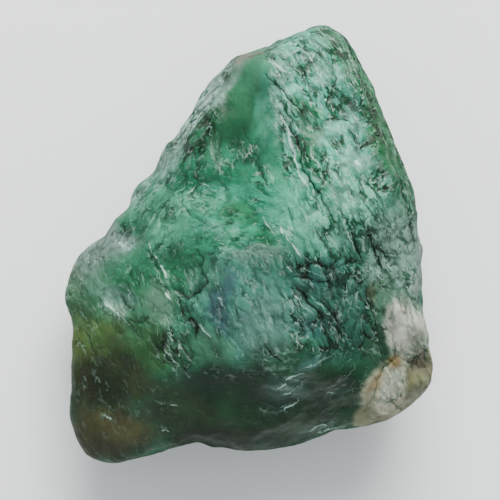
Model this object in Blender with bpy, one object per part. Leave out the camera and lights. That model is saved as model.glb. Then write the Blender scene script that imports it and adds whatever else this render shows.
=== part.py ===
"""A rough chunk of green fluorite with a corner of quartz grown into it, lying on its broad back.

The values below are in millimetres, and the finished mesh is in metres. +Z is up, +Y runs from the
wide foot of the chunk to its narrow head, and +X runs to the side that carries the quartz. The
origin is on the resting face, under the middle of the chunk's box.
"""

import math
from typing import NamedTuple

import bmesh
import bpy
import numpy as np
from mathutils import noise

MM = 0.001

# The widest section, seen from above, clockwise from the tip of the head.
OUTLINE = [
    (11.8, 35.3), (13.8, 34.8), (15.8, 33.3), (17.3, 31.4), (18.3, 29.1), (21.2, 22.2), (22.8, 18.7),
    (23.7, 16.4), (24.3, 13.2), (26.5, 6.8), (27.4, 2.4), (27.8, -2.4), (27.9, -7.2), (27.4, -11.2),
    (28.5, -13.5), (28.9, -15.5), (28.7, -16.8), (29.3, -18.6), (29.5, -20.4), (29.2, -22.2),
    (28.1, -23.8), (26.0, -25.6), (21.2, -28.5), (19.0, -29.2), (14.4, -29.5), (9.6, -31.6),
    (6.4, -32.4), (2.7, -32.8), (-5.4, -32.4), (-7.8, -31.4), (-11.4, -32.4), (-17.0, -34.0),
    (-20.7, -35.3), (-23.9, -34.8), (-26.2, -34.0), (-27.8, -32.0), (-28.7, -29.5), (-29.4, -26.2),
    (-29.5, -23.0), (-29.2, -19.5), (-28.4, -12.6), (-29.2, -10.1), (-29.5, -8.5), (-28.8, -4.2),
    (-27.6, -1.9), (-25.5, -0.2), (-22.8, 1.4), (-21.3, 4.0), (-19.4, 5.8), (-17.5, 9.7),
    (-15.4, 11.3), (-13.0, 15.5), (-11.2, 17.9), (-8.8, 21.6), (-7.3, 24.5), (-5.7, 26.7),
    (-3.1, 29.0), (-1.0, 30.8), (0.9, 30.9), (3.5, 32.0), (9.6, 34.8),
]

# The point that every surface point is measured from.
HEART = (1.0, -4.0, 16.0)

# The rim is where the chunk is widest. It rises and falls on its way round, in waves given as how
# many there are to a turn, how high they are and where they start.
RIM_HEIGHT = 13.2
RIM_WAVES = ((2, 1.5, 0.9), (5, 1.1, 2.4), (9, 0.6, 0.3))
RIM_CALM = 0.2
UPPER_WALL_LEAN = 0.05
LOWER_WALL_LEAN = 0.46
EDGE_SHARPNESS = 34.0
RESTING_CUT = 0.9

SPHERE_LEVELS = 7
UPWARD_BIAS = 0.22
TRIANGLE_BUDGET = 9200
NEVER_MET = 1000.0


class Facet(NamedTuple):
    """A flat face: a point on it, and how far it rises for each millimetre towards +X and +Y."""

    point: tuple
    rise: tuple


UPPER_FACETS = {
    "head_panel": Facet((14.0, 14.0, 30.0), (-0.10, -0.33)),
    "smooth_flank": Facet((2.2, 28.2, 26.5), (0.50, -0.155)),
    "left_field": Facet((0.0, 10.0, 28.2), (0.46, 0.02)),
    "crown": Facet((5.0, -6.0, 33.6), (0.06, 0.04)),
    "inclusion_field": Facet((15.0, -2.0, 31.9), (-0.17, 0.27)),
    "foot_slope": Facet((5.0, -17.0, 30.6), (-0.04, 0.72)),
    "foot_corner": Facet((-11.0, -20.0, 24.6), (0.34, 0.42)),
    "left_cheek": Facet((-15.0, -12.0, 21.3), (0.36, 0.14)),
    "left_edge": Facet((-25.5, -18.5, 17.6), (0.58, 0.15)),
    "left_shoulder": Facet((-22.0, -2.0, 18.2), (0.72, -0.30)),
    "foot_lobe": Facet((-19.0, -32.0, 18.2), (0.10, 0.85)),
    "right_flank": Facet((18.2, 21.2, 27.2), (-1.05, -0.65)),
    "head_brow": Facet((8.0, 32.6, 24.2), (0.43, -1.23)),
    "grey_flank": Facet((-5.4, 19.4, 24.1), (1.01, -0.65)),
    "quartz_corner": Facet((24.0, -16.0, 22.6), (-0.55, 0.30)),
    "quartz_foot": Facet((22.0, -26.0, 18.4), (-0.25, 1.00)),
}

LOWER_FACETS = {
    "resting_face": Facet((0.0, 0.0, 0.0), (0.0, 0.0)),
    "under_head": Facet((0.0, 11.0, 0.9), (0.0, 0.36)),
    "under_left": Facet((-15.0, -8.0, 0.9), (-0.42, 0.04)),
    "under_quartz": Facet((15.0, -15.0, 0.9), (0.40, -0.26)),
    "under_foot": Facet((0.0, -23.0, 0.9), (0.03, -0.60)),
    "under_right": Facet((19.0, 2.0, 0.9), (0.75, 0.10)),
}


class Scoop(NamedTuple):
    """A shell-shaped hollow left by a chip: its middle, half width, half length, turn and depth."""

    place: tuple
    half_width: float
    half_length: float
    turn_deg: float
    depth: float


SCOOPS = {
    "shell_pocket": Scoop((-9.4, -4.9), 3.0, 4.2, 12.0, 1.5),
    "left_chip": Scoop((-20.5, -8.5), 4.0, 2.9, -25.0, 1.2),
    "upper_bowl": Scoop((-5.6, 8.0), 3.6, 2.4, -20.0, 0.9),
    "smooth_trough": Scoop((-1.4, 18.0), 5.2, 10.5, -14.0, 1.4),
    "foot_shell": Scoop((3.0, -25.0), 6.2, 3.4, 20.0, 1.3),
    "foot_chip": Scoop((-9.0, -24.5), 4.2, 3.2, -30.0, 0.9),
    "cheek_dip": Scoop((-20.5, -17.0), 4.6, 3.0, -35.0, 0.8),
    "quartz_bite": Scoop((28.2, -18.2), 3.2, 2.0, 20.0, 1.6),
    "crown_dip": Scoop((10.0, -13.5), 3.6, 2.2, 15.0, 0.7),
    "panel_dip": Scoop((14.6, 22.0), 2.6, 5.0, -15.0, 0.6),
}


class Lump(NamedTuple):
    """A rounded swelling: its middle, its reach and its height."""

    place: tuple
    reach: float
    height: float


LUMPS = {
    "upper_quartz": Lump((24.3, -13.0), 4.2, 1.7),
    "lower_quartz": Lump((21.8, -22.6), 4.6, 1.8),
    "quartz_tip": Lump((27.6, -21.4), 2.8, 0.9),
    "crown_swell": Lump((-1.5, -10.0), 7.5, 1.1),
    "cheek_swell": Lump((-16.5, -6.5), 4.2, 0.9),
    "foot_lobe_swell": Lump((-21.5, -28.5), 6.0, 1.2),
    "edge_knob": Lump((-28.6, -8.6), 1.8, 0.6),
}


class Ledge(NamedTuple):
    """A step along a broken line. The ground to the right of its run drops, and comes back over its fade."""

    run: tuple
    drop: float
    fade: float


LEDGES = {
    "long_break": Ledge(((3.4, 26.5), (6.0, 21.8), (7.2, 16.6), (10.4, 9.0), (12.9, 3.2)), 1.4, 8.0),
    "lower_break": Ledge(((13.4, 4.2), (15.6, 1.2), (17.4, -3.4), (18.7, -9.6)), 1.0, 6.0),
    "side_break": Ledge(((18.6, 3.0), (20.2, -0.6), (21.9, -4.2)), 0.8, 4.0),
    "teal_break": Ledge(((8.6, -7.0), (11.6, -10.4), (14.6, -13.8)), 1.0, 4.5),
    "field_step": Ledge(((-12.0, 10.2), (-6.0, 10.6), (0.5, 9.6), (4.5, 7.6)), 0.6, 7.0),
    "crown_step": Ledge(((-7.0, -2.4), (-1.0, -2.8), (4.6, -1.6)), 0.4, 6.0),
    "foot_step": Ledge(((-13.0, -16.8), (-9.0, -20.6), (-5.0, -21.8), (6.0, -19.0)), 0.9, 5.0),
}


class Terrace(NamedTuple):
    """A flight of cleavage steps on the sides and back: its climb direction, tread and riser."""

    climb: tuple
    tread: float
    riser: float


TERRACES = (
    Terrace((0.62, 0.55, 0.56), 6.3, 0.75),
    Terrace((-0.58, 0.60, 0.55), 7.9, 0.60),
)

TERRACE_BEND = 0.35
TERRACE_BEND_PITCH = 0.11
TREAD_SHARE = 0.84
LEDGE_FACE = 0.9

BROAD_SWELL = (0.085, 0.55)
FINE_SWELL = (0.26, 0.50)
SWELL_SHIFT = (31.0, 7.0, 3.0)

GREEN = (0.045, 0.235, 0.135, 1.0)
ROUGHNESS = 0.28


def smooth_step(value, low, high):
    """Goes from 0 at low to 1 at high, with no corner."""
    share = np.clip((value - low) / (high - low), 0.0, 1.0)
    return share * share * (3.0 - 2.0 * share)


def outline_reach(angles):
    """How far the outline is from the heart in the direction of each angle."""
    corners = np.array(OUTLINE) - HEART[:2]
    corner_angles = np.arctan2(corners[:, 1], corners[:, 0])
    return np.interp(angles, corner_angles, np.hypot(corners[:, 0], corners[:, 1]), period=math.tau)


def rim_height(angles):
    """The height of the rim in the direction of each angle."""
    return RIM_HEIGHT + sum(high * np.sin(count * angles + start) for count, high, start in RIM_WAVES)


def facet_reach(directions, facet, side):
    """How far a facet is from the heart along each direction. Side is 1 above, -1 below."""
    normal = side * np.array((-facet.rise[0], -facet.rise[1], 1.0))
    closing = directions @ normal
    gap = normal @ (np.array(facet.point) - HEART)
    return np.where(closing > gap / NEVER_MET, gap / np.maximum(closing, gap / NEVER_MET), NEVER_MET)


def wall_reach(directions):
    """How far the nearer of the two leaning walls, above and below the rim, is from the heart."""
    flat = np.maximum(np.hypot(directions[:, 0], directions[:, 1]), 1.0 / NEVER_MET)
    angles = np.arctan2(directions[:, 1], directions[:, 0])
    reach = outline_reach(angles)
    above = HEART[2] - rim_height(angles)
    closing = np.maximum(flat + UPPER_WALL_LEAN * directions[:, 2], 1.0 / NEVER_MET)
    opening = np.maximum(flat - LOWER_WALL_LEAN * directions[:, 2], 1.0 / NEVER_MET)
    upper = (reach - UPPER_WALL_LEAN * above) / closing
    lower = (reach + LOWER_WALL_LEAN * above) / opening
    return np.minimum(np.minimum(upper, lower), NEVER_MET)


def chunk_reach(directions):
    """How far the surface is from the heart. The nearest facet wins, and edges are softly rounded."""
    found = [wall_reach(directions)]
    found += [facet_reach(directions, facet, 1.0) for facet in UPPER_FACETS.values()]
    found += [facet_reach(directions, facet, -1.0) for facet in LOWER_FACETS.values()]
    return sum(reach ** -EDGE_SHARPNESS for reach in found) ** (-1.0 / EDGE_SHARPNESS)


def scoop_depth(x, y, scoop):
    """How deep a scoop is at each place. It is a bowl with a crisp rim."""
    turn = math.radians(scoop.turn_deg)
    across = x - scoop.place[0]
    along = y - scoop.place[1]
    side = (across * math.cos(turn) + along * math.sin(turn)) / scoop.half_width
    length = (along * math.cos(turn) - across * math.sin(turn)) / scoop.half_length
    return scoop.depth * np.maximum(0.0, 1.0 - side * side - length * length)


def lump_height(x, y, lump):
    """How high a lump stands at each place."""
    away = np.hypot(x - lump.place[0], y - lump.place[1]) / lump.reach
    return lump.height * np.exp(-away * away)


def ledge_drop(x, y, ledge):
    """How far a ledge lowers the ground: most just right of its run, and nothing on its left."""
    drop = np.zeros_like(x)
    steps = list(zip(ledge.run, ledge.run[1:]))
    for number, ((ax, ay), (bx, by)) in enumerate(steps):
        length = math.hypot(bx - ax, by - ay)
        along = ((x - ax) * (bx - ax) + (y - ay) * (by - ay)) / length
        right = ((x - ax) * (by - ay) - (y - ay) * (bx - ax)) / length
        depth = smooth_step(right, -0.5 * LEDGE_FACE, 0.5 * LEDGE_FACE)
        depth = depth * np.clip(1.0 - right / ledge.fade, 0.0, 1.0)
        start, end = (0.0, 0.45 * length) if number == 0 else (-LEDGE_FACE, 0.0)
        depth = depth * smooth_step(along, start, end)
        start, end = (0.55 * length, length) if number == len(steps) - 1 else (length, length + LEDGE_FACE)
        depth = depth * (1.0 - smooth_step(along, start, end))
        drop = np.maximum(drop, ledge.drop * depth)
    return drop


def terrace_height(places, terrace):
    """A saw-tooth of steps across the chunk, bent a little so that the edges wander."""
    climb = np.array(terrace.climb) / np.linalg.norm(terrace.climb)
    bend = TERRACE_BEND * np.array([noise.noise(place) for place in places * TERRACE_BEND_PITCH])
    turns = places @ climb / terrace.tread + bend
    rest = turns - np.floor(turns)
    back = (1.0 - rest) * TREAD_SHARE / (1.0 - TREAD_SHARE)
    return terrace.riser * (np.where(rest < TREAD_SHARE, rest, back) - 0.5)


def swell(places, pitch, height):
    """A broad unevenness of the broken surface."""
    return height * np.array([noise.fractal(place, 1.0, 2.0, 3) for place in places * pitch])


def relief(places, normals):
    """How far the finished surface stands out from the faceted form, along its normal."""
    x, y, z = places.T
    facing_up = smooth_step(normals[:, 2], 0.15, 0.55)
    rim = rim_height(np.arctan2(y - HEART[1], x - HEART[0]))
    off_rim = RIM_CALM + (1.0 - RIM_CALM) * smooth_step(np.abs(z - rim), 0.5, 4.0)
    uneven = swell(places, *BROAD_SWELL) + swell(places + SWELL_SHIFT, *FINE_SWELL)
    stepped = sum(terrace_height(places, terrace) for terrace in TERRACES)
    height = off_rim * (uneven + stepped * (1.0 - 0.85 * facing_up))
    worked = sum(lump_height(x, y, lump) for lump in LUMPS.values())
    worked = worked - sum(scoop_depth(x, y, scoop) for scoop in SCOOPS.values())
    worked = worked - sum(ledge_drop(x, y, ledge) for ledge in LEDGES.values())
    return height + facing_up * worked


def placed(shape):
    """The places of a shape's vertices, as rows."""
    return np.array([vertex.co[:] for vertex in shape.verts])


def move_to(shape, places):
    """Moves every vertex of a shape to its row, and brings the normals up to date."""
    for vertex, place in zip(shape.verts, places):
        vertex.co = place
    shape.normal_update()


def chunk_shape():
    """The chunk in metres: a sphere pulled onto the facets, worked over, and cut flat to rest on."""
    shape = bmesh.new()
    bmesh.ops.create_icosphere(shape, subdivisions=SPHERE_LEVELS, radius=1.0)
    directions = placed(shape) + (0.0, 0.0, UPWARD_BIAS)
    directions /= np.linalg.norm(directions, axis=1, keepdims=True)
    places = HEART + directions * chunk_reach(directions)[:, np.newaxis]
    move_to(shape, places)
    normals = np.array([vertex.normal[:] for vertex in shape.verts])
    places = places + normals * relief(places, normals)[:, np.newaxis]
    places[:, 2] = np.maximum(places[:, 2], RESTING_CUT)
    move_to(shape, (places - box_foot(places)) * MM)
    return shape


def box_foot(places):
    """The point under the middle of the chunk's box, on the resting face."""
    middle = (places.min(axis=0) + places.max(axis=0)) / 2
    return np.array((middle[0], middle[1], RESTING_CUT))


def fluorite_material():
    """Green fluorite with a broken, slightly waxy surface."""
    material = bpy.data.materials.new("green_fluorite")
    material.use_nodes = True
    shader = material.node_tree.nodes["Principled BSDF"]
    shader.inputs["Base Color"].default_value = GREEN
    shader.inputs["Roughness"].default_value = ROUGHNESS
    shader.inputs["Metallic"].default_value = 0.0
    return material


def make_chunk():
    """The whole specimen, one stone."""
    shape = chunk_shape()
    mesh = bpy.data.meshes.new("fluorite_chunk")
    triangles = len(shape.faces)
    shape.to_mesh(mesh)
    shape.free()
    mesh.materials.append(fluorite_material())
    chunk = bpy.data.objects.new("fluorite_chunk", mesh)
    bpy.context.scene.collection.objects.link(chunk)
    thinning = chunk.modifiers.new("Fewer triangles", "DECIMATE")
    thinning.decimate_type = "COLLAPSE"
    thinning.ratio = TRIANGLE_BUDGET / triangles
    return chunk


def main():
    """Clears the scene and builds the specimen."""
    for leftover in list(bpy.data.objects):
        bpy.data.objects.remove(leftover)
    make_chunk()


main()
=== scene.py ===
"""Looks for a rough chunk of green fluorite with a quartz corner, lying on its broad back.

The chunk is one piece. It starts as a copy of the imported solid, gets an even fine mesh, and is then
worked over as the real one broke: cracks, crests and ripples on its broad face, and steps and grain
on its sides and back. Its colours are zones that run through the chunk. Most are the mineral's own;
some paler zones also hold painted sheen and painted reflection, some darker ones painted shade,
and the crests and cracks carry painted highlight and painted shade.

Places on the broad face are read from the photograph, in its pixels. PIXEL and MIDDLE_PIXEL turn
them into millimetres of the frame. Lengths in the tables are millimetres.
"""

import logging
import math
from dataclasses import dataclass
from enum import Enum

import bmesh
import bpy
import numpy as np
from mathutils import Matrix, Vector, noise

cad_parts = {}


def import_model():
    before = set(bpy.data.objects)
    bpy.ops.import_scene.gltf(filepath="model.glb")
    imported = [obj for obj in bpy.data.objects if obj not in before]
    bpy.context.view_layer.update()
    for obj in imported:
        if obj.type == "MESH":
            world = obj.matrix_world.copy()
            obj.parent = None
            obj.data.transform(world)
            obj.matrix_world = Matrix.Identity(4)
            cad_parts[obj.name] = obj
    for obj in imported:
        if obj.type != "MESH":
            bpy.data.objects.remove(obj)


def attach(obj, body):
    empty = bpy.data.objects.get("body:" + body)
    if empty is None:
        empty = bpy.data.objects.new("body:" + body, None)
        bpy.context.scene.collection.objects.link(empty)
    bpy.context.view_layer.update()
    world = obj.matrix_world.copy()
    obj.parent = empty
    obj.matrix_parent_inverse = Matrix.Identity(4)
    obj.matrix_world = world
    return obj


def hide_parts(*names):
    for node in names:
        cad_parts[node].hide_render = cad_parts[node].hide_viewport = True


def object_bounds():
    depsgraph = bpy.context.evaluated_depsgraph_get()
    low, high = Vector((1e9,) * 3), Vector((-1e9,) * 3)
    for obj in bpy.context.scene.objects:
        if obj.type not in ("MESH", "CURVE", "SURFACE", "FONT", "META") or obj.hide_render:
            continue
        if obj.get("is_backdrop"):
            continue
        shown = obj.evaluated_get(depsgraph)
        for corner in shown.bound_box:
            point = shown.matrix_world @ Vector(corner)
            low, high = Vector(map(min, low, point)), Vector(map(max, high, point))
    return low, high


LOG = logging.getLogger("fluorite")
Socket = bpy.types.NodeSocket
Outputs = bpy.types.bpy_prop_collection

MM = 0.001
PIXEL = 0.16
MIDDLE_PIXEL = (247.5, 245.0)
PHOTO_SIDE = 500.0

# A share that is almost none, and a gap in millimetres that no drawn line reaches across.
TINY = 1e-9
FAR = 9.0
# How much of its width a stroke keeps at its ends.
END_WIDTH = 0.4
# How fast the finer layers of the noise fade, and how high its ridges come.
LAYER_FALL = 0.9
RIDGE_TOP = 2.2

CHUNK_NODE = "fluorite_chunk"


class Mark(Enum):
    """The maps that the chunk's mesh carries for its material, by attribute name."""

    TINT = "tint"
    # Frosting and painted highlight: whitening on the frosted zones, the crests and the convex ripples,
    # partly painted sheen.
    FROST_AND_HIGHLIGHT = "frost_and_highlight"
    # Painted shade: darkening in cracks, hollows and on steep sides.
    CUT = "crease_shade"
    # Where the bright hooks are strong: painted glints beside painted shade.
    SPARKLE = "sparkle"
    QUARTZ = "quartz"
    WRINKLE = "wrinkle"
    RUNS = "runs"
    CRACK = "crack"
    CREST = "crest"
    DULL = "dull"


class Run(Enum):
    """The three ways in which the ripples run: the turn from +X, and how drawn out they are."""

    FALLING = (-60.0, 2.3)
    RISING = (48.0, 1.8)
    LEVEL = (-4.0, 1.9)


@dataclass(frozen=True)
class Crack:
    """A groove: its path in pixels, its half width and depth at its middle, and how dark it is painted, as
    shade in the groove.
    """

    path: tuple
    width: float
    depth: float
    dark: float


@dataclass(frozen=True)
class Crest:
    """A raised edge that catches the light: its path in pixels, half width, height and whiteness, a
    painted highlight.
    """

    path: tuple
    width: float
    height: float
    frost_and_highlight: float


@dataclass(frozen=True)
class Sparkle:
    """A band where the bright hooks, painted glints beside painted shade, are strong: its path in pixels,
    half width and strength.
    """

    path: tuple
    width: float
    strength: float


@dataclass(frozen=True)
class Patch:
    """A soft oval: its middle and half sizes in pixels, its turn and its strength."""

    place: tuple
    half: tuple
    turn_deg: float
    strength: float


@dataclass(frozen=True)
class Tint(Patch):
    """A colour zone: a soft oval with its colour."""

    colour: str


@dataclass(frozen=True)
class Grain:
    """How the broken surface runs over a region: its middle and reach in pixels, its shares of
    the falling, rising and level ripples, and how strong they are."""

    place: tuple
    reach: tuple
    shares: tuple
    wrinkle: float


# The material darkens each crack's line, as painted shade in the groove.
CRACKS = {
    "panel_edge_top": Crack(
        ((264, 77), (272, 86), (279, 92), (287, 103), (296, 109), (302, 118), (310, 127)),
        0.3, 0.28, 0.75,
    ),
    "panel_hair_one": Crack(((287, 54), (296, 64), (302, 75), (305, 84)), 0.24, 0.15, 0.55),
    "panel_hair_two": Crack(((292, 80), (296, 87), (302, 95), (310, 100)), 0.24, 0.15, 0.55),
    "panel_long_hair": Crack(
        ((325, 51), (331, 64), (331, 77), (335, 86), (328, 100), (322, 112)),
        0.24, 0.2, 0.7,
    ),
    "panel_hook": Crack(((322, 126), (330, 122), (341, 123), (347, 125)), 0.24, 0.22, 0.85),
    "panel_scratch": Crack(((318, 138), (327, 142), (335, 149)), 0.24, 0.12, 0.5),
    "groove_head": Crack(((287, 130), (294, 142), (297, 152), (299, 161)), 0.47, 0.5, 0.95),
    "groove_patch": Crack(((296, 138), (303, 146), (303, 156), (301, 165)), 0.64, 0.28, 0.6),
    "groove_middle": Crack(((299, 161), (301, 173), (307, 184), (315, 194)), 0.29, 0.34, 0.9),
    "groove_foot": Crack(((313, 190), (321, 205), (328, 218), (331, 225)), 0.51, 0.43, 0.55),
    "groove_loop": Crack(((316, 160), (322, 173), (322, 182), (315, 189)), 0.24, 0.19, 0.65),
    "panel_low_hair": Crack(((345, 133), (351, 142), (356, 150)), 0.24, 0.19, 0.6),
    "side_hair_one": Crack(((352, 178), (357, 194), (362, 207), (367, 216), (368, 234)), 0.24, 0.15, 0.55),
    "side_hair_two": Crack(((372, 203), (378, 216), (384, 226)), 0.24, 0.15, 0.5),
    "break_upper": Crack(((331, 209), (341, 217), (347, 231)), 0.24, 0.22, 0.7),
    "break_lower": Crack(((346, 230), (352, 243), (359, 259), (362, 264)), 0.36, 0.4, 0.95),
    "side_break": Crack(((362, 229), (366, 238), (371, 250), (376, 264), (379, 270)), 0.34, 0.37, 0.95),
    "side_break_fork": Crack(((370, 242), (378, 251), (385, 262)), 0.24, 0.22, 0.75),
    "hair_from_groove": Crack(((287, 207), (292, 223)), 0.24, 0.14, 0.6),
    "teal_crack_one": Crack(((295, 285), (307, 301), (319, 311), (324, 324)), 0.31, 0.34, 0.95),
    "teal_crack_two": Crack(((309, 292), (326, 307), (335, 318), (343, 330)), 0.26, 0.31, 0.9),
    "teal_crack_three": Crack(((323, 310), (328, 318), (326, 330)), 0.24, 0.22, 0.75),
    "teal_cross_one": Crack(((290, 275), (304, 277), (320, 281), (332, 279)), 0.31, 0.25, 0.75),
    "teal_cross_two": Crack(((330, 268), (347, 261), (361, 266)), 0.26, 0.2, 0.7),
    "teal_cross_three": Crack(((296, 268), (312, 262), (326, 268)), 0.34, 0.25, 0.7),
    "rusty_crack": Crack(((362, 284), (365, 300), (370, 313), (373, 326)), 0.26, 0.25, 0.8),
    "low_crack": Crack(((361, 325), (362, 336), (356, 348)), 0.24, 0.19, 0.75),
    "pocket_rim": Crack(
        ((197, 250), (205, 258), (201, 268), (207, 280), (200, 290), (188, 294), (176, 289), (171, 279)),
        0.42, 0.37, 0.6,
    ),
    "field_loop": Crack(
        ((196, 184), (184, 192), (182, 203), (192, 216), (214, 228), (238, 222)),
        0.24, 0.19, 0.45,
    ),
    "field_loop_inner": Crack(((200, 186), (190, 196), (197, 200)), 0.26, 0.19, 0.5),
    "field_hair": Crack(((205, 255), (222, 251), (240, 252)), 0.24, 0.12, 0.4),
    "dimple": Crack(((193, 316), (197, 326), (195, 339)), 0.64, 0.43, 0.85),
    "swirl_eye": Crack(((120, 295), (127, 303), (135, 311)), 0.51, 0.31, 0.5),
    "swirl_under": Crack(((128, 317), (138, 322), (150, 318)), 0.34, 0.22, 0.45),
    "shoulder_line": Crack(((148, 248), (156, 262), (162, 275)), 0.24, 0.19, 0.5),
    "quartz_seam": Crack(
        ((387, 325), (391, 342), (393, 354), (383, 364), (374, 376), (371, 394), (362, 411)),
        0.29, 0.28, 0.35,
    ),
    "quartz_split": Crack(((393, 354), (405, 360), (418, 364), (428, 368)), 0.34, 0.25, 0.25),
    "strip_step": Crack(((342, 40), (356, 66), (362, 92), (372, 118), (378, 132)), 0.34, 0.25, 0.6),
    "strip_step_low": Crack(((384, 152), (395, 182), (404, 214), (410, 244)), 0.26, 0.22, 0.55),
    "brow_line": Crack(((247, 63), (262, 57), (282, 47), (300, 38)), 0.24, 0.15, 0.4),
    "flank_rib_one": Crack(((243, 130), (252, 150), (262, 168)), 0.24, 0.12, 0.45),
    "flank_rib_two": Crack(((252, 158), (262, 176), (268, 190)), 0.24, 0.14, 0.45),
    "flank_rib_three": Crack(((222, 134), (219, 150), (216, 166)), 0.24, 0.15, 0.5),
    "strip_knot": Crack(((196, 112), (206, 107), (215, 100), (211, 92)), 0.24, 0.15, 0.5),
    "crown_crack": Crack(((262, 340), (272, 352), (284, 362)), 0.26, 0.19, 0.7),
    "left_edge_cut": Crack(((84, 326), (92, 344), (99, 362)), 0.26, 0.19, 0.5),
}

# The material paints each crest's line bright and whitens around it: painted highlight.
CRESTS = {
    "panel_corner": Crest(((268, 66), (278, 72), (290, 78)), 1.1, 0.25, 0.35),
    "panel_rib": Crest(((300, 52), (311, 66), (320, 82)), 0.9, 0.15, 0.35),
    "groove_bank": Crest(((281, 118), (288, 137), (292, 154), (298, 176), (306, 192)), 0.55, 0.35, 0.45),
    "panel_right_rib": Crest(((336, 55), (343, 72), (348, 90)), 0.8, 0.2, 0.3),
    "bright_knot": Crest(((351, 163), (357, 167)), 0.8, 0.2, 0.7),
    "field_crest": Crest(((275, 223), (284, 236), (293, 248), (301, 259)), 0.35, 0.3, 0.7),
    "field_crest_two": Crest(((262, 218), (271, 232), (279, 243)), 0.28, 0.2, 0.35),
    "shoulder_crest": Crest(((150, 244), (160, 262), (167, 274), (171, 288)), 0.5, 0.35, 0.55),
    "crest_knob": Crest(((168, 293), (172, 299)), 0.5, 0.3, 0.85),
    "middle_crest": Crest(((199, 322), (209, 332), (219, 341)), 0.35, 0.3, 0.6),
    "lower_crest": Crest(((168, 350), (180, 364), (191, 375)), 0.4, 0.3, 0.6),
    "swirl": Crest(((97, 293), (106, 303), (118, 312), (130, 324)), 0.55, 0.35, 0.45),
    "swirl_ring": Crest(((101, 288), (112, 283), (124, 285), (131, 292), (130, 302)), 0.5, 0.25, 0.4),
    "pocket_heart": Crest(((194, 272), (191, 281)), 0.6, 0.25, 0.75),
    "pocket_bank": Crest(((183, 256), (190, 264), (188, 276)), 0.8, 0.2, 0.3),
    "hook_arc": Crest(((302, 388), (296, 398), (286, 406), (276, 411)), 0.28, 0.3, 0.6),
    "hook_wave": Crest(((255, 402), (266, 409), (276, 411)), 0.3, 0.25, 0.5),
    "hook_wave_two": Crest(((262, 399), (274, 405), (286, 403)), 0.24, 0.2, 0.35),
    "lozenge": Crest(((300, 366), (311, 361), (325, 354)), 1.4, 0.3, 0.2),
    "crumple_one": Crest(((277, 386), (288, 374), (303, 369)), 0.5, 0.3, 0.45),
    "crumple_two": Crest(((281, 393), (295, 384), (306, 375)), 0.4, 0.25, 0.4),
    "crumple_ring": Crest(((263, 362), (268, 353), (279, 352), (284, 358)), 0.4, 0.3, 0.45),
    "foot_wave_one": Crest(((308, 430), (318, 424), (330, 424)), 0.35, 0.25, 0.35),
    "foot_wave_two": Crest(((313, 434), (325, 430), (340, 424)), 0.3, 0.25, 0.35),
    "foot_streak": Crest(((321, 393), (329, 389), (336, 386)), 0.4, 0.15, 0.35),
    "thin_streak": Crest(((154, 399), (166, 402), (178, 403)), 0.22, 0.15, 0.45),
    "brown_fleck": Crest(((101, 410), (108, 416), (116, 421)), 0.35, 0.2, 0.6),
    "brown_spark": Crest(((162, 429), (167, 426), (171, 429)), 0.35, 0.2, 0.6),
    "crack_crest_one": Crest(((303, 290), (316, 301), (327, 312), (338, 325)), 0.22, 0.2, 0.3),
    "crack_crest_two": Crest(((290, 290), (300, 303), (312, 314)), 0.22, 0.2, 0.25),
    "upper_arc": Crest(((188, 194), (196, 187), (207, 186), (214, 190)), 0.35, 0.25, 0.4),
    "upper_arc_two": Crest(((203, 199), (211, 194), (220, 196), (226, 203)), 0.3, 0.2, 0.3),
    "pale_streak": Crest(((131, 203), (143, 190), (157, 177)), 0.9, 0.15, 0.35),
    "white_patch": Crest(((116, 240), (124, 245), (131, 251)), 0.8, 0.2, 0.4),
    "break_bank": Crest(((338, 219), (344, 235), (352, 252)), 0.3, 0.25, 0.45),
    "side_bank": Crest(((358, 232), (366, 250), (373, 264)), 0.3, 0.2, 0.35),
    "quartz_ridge": Crest(((396, 312), (402, 326), (406, 342)), 1.1, 0.3, 0.14),
    "quartz_low_ridge": Crest(((396, 366), (388, 384), (376, 404)), 1.0, 0.3, 0.14),
    "head_gloss": Crest(((302, 50), (296, 56), (290, 62)), 0.9, 0.1, 0.3),
}

# Whitened zones: partly the mineral's milky frosting, partly painted highlight and sheen.
FROST_AND_SHEEN_ZONES = {
    "panel_white": Patch((281, 70), (14, 15), 20.0, 0.50),
    "panel_bank": Patch((284, 112), (9, 42), 20.0, 0.50),
    "panel_top": Patch((320, 72), (12, 24), 18.0, 0.32),
    "panel_right": Patch((349, 84), (8, 22), 20.0, 0.28),
    "panel_knot": Patch((354, 165), (6, 4), 0.0, 0.60),
    "panel_web": Patch((330, 160), (34, 40), 10.0, 0.20),
    "panel_low": Patch((340, 215), (44, 40), 10.0, 0.25),
    "left_strip": Patch((202, 106), (9, 34), -36.0, 0.55),
    "left_strip_low": Patch((160, 178), (9, 34), -40.0, 0.35),
    "left_field": Patch((150, 225), (34, 26), 20.0, 0.15),
    "shoulder": Patch((124, 241), (16, 10), -30.0, 0.42),
    "shoulder_edge": Patch((88, 262), (20, 26), 30.0, 0.25),
    "field_arc": Patch((206, 194), (26, 14), -10.0, 0.26),
    "field_ring": Patch((222, 226), (28, 14), 0.0, 0.26),
    "field_pale": Patch((256, 256), (34, 9), -2.0, 0.32),
    "pocket": Patch((193, 276), (8, 10), 0.0, 0.50),
    "swirl": Patch((112, 300), (24, 12), -45.0, 0.32),
    "middle": Patch((256, 315), (34, 44), 0.0, 0.22),
    "middle_right": Patch((290, 310), (22, 40), 0.0, 0.25),
    "spray": Patch((175, 335), (11, 36), 0.0, 0.25),
    "teal": Patch((330, 290), (44, 40), 0.0, 0.20),
    "right_low": Patch((392, 250), (26, 44), 0.0, 0.28),
    "crown": Patch((276, 356), (20, 14), 10.0, 0.35),
    "crumple": Patch((288, 384), (18, 10), 30.0, 0.35),
    "left_band": Patch((92, 372), (6, 24), -40.0, 0.15),
    "foot_patch": Patch((326, 428), (22, 7), 14.0, 0.35),
}

# Bands of bright hooks: painted glints beside painted shade.
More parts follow.
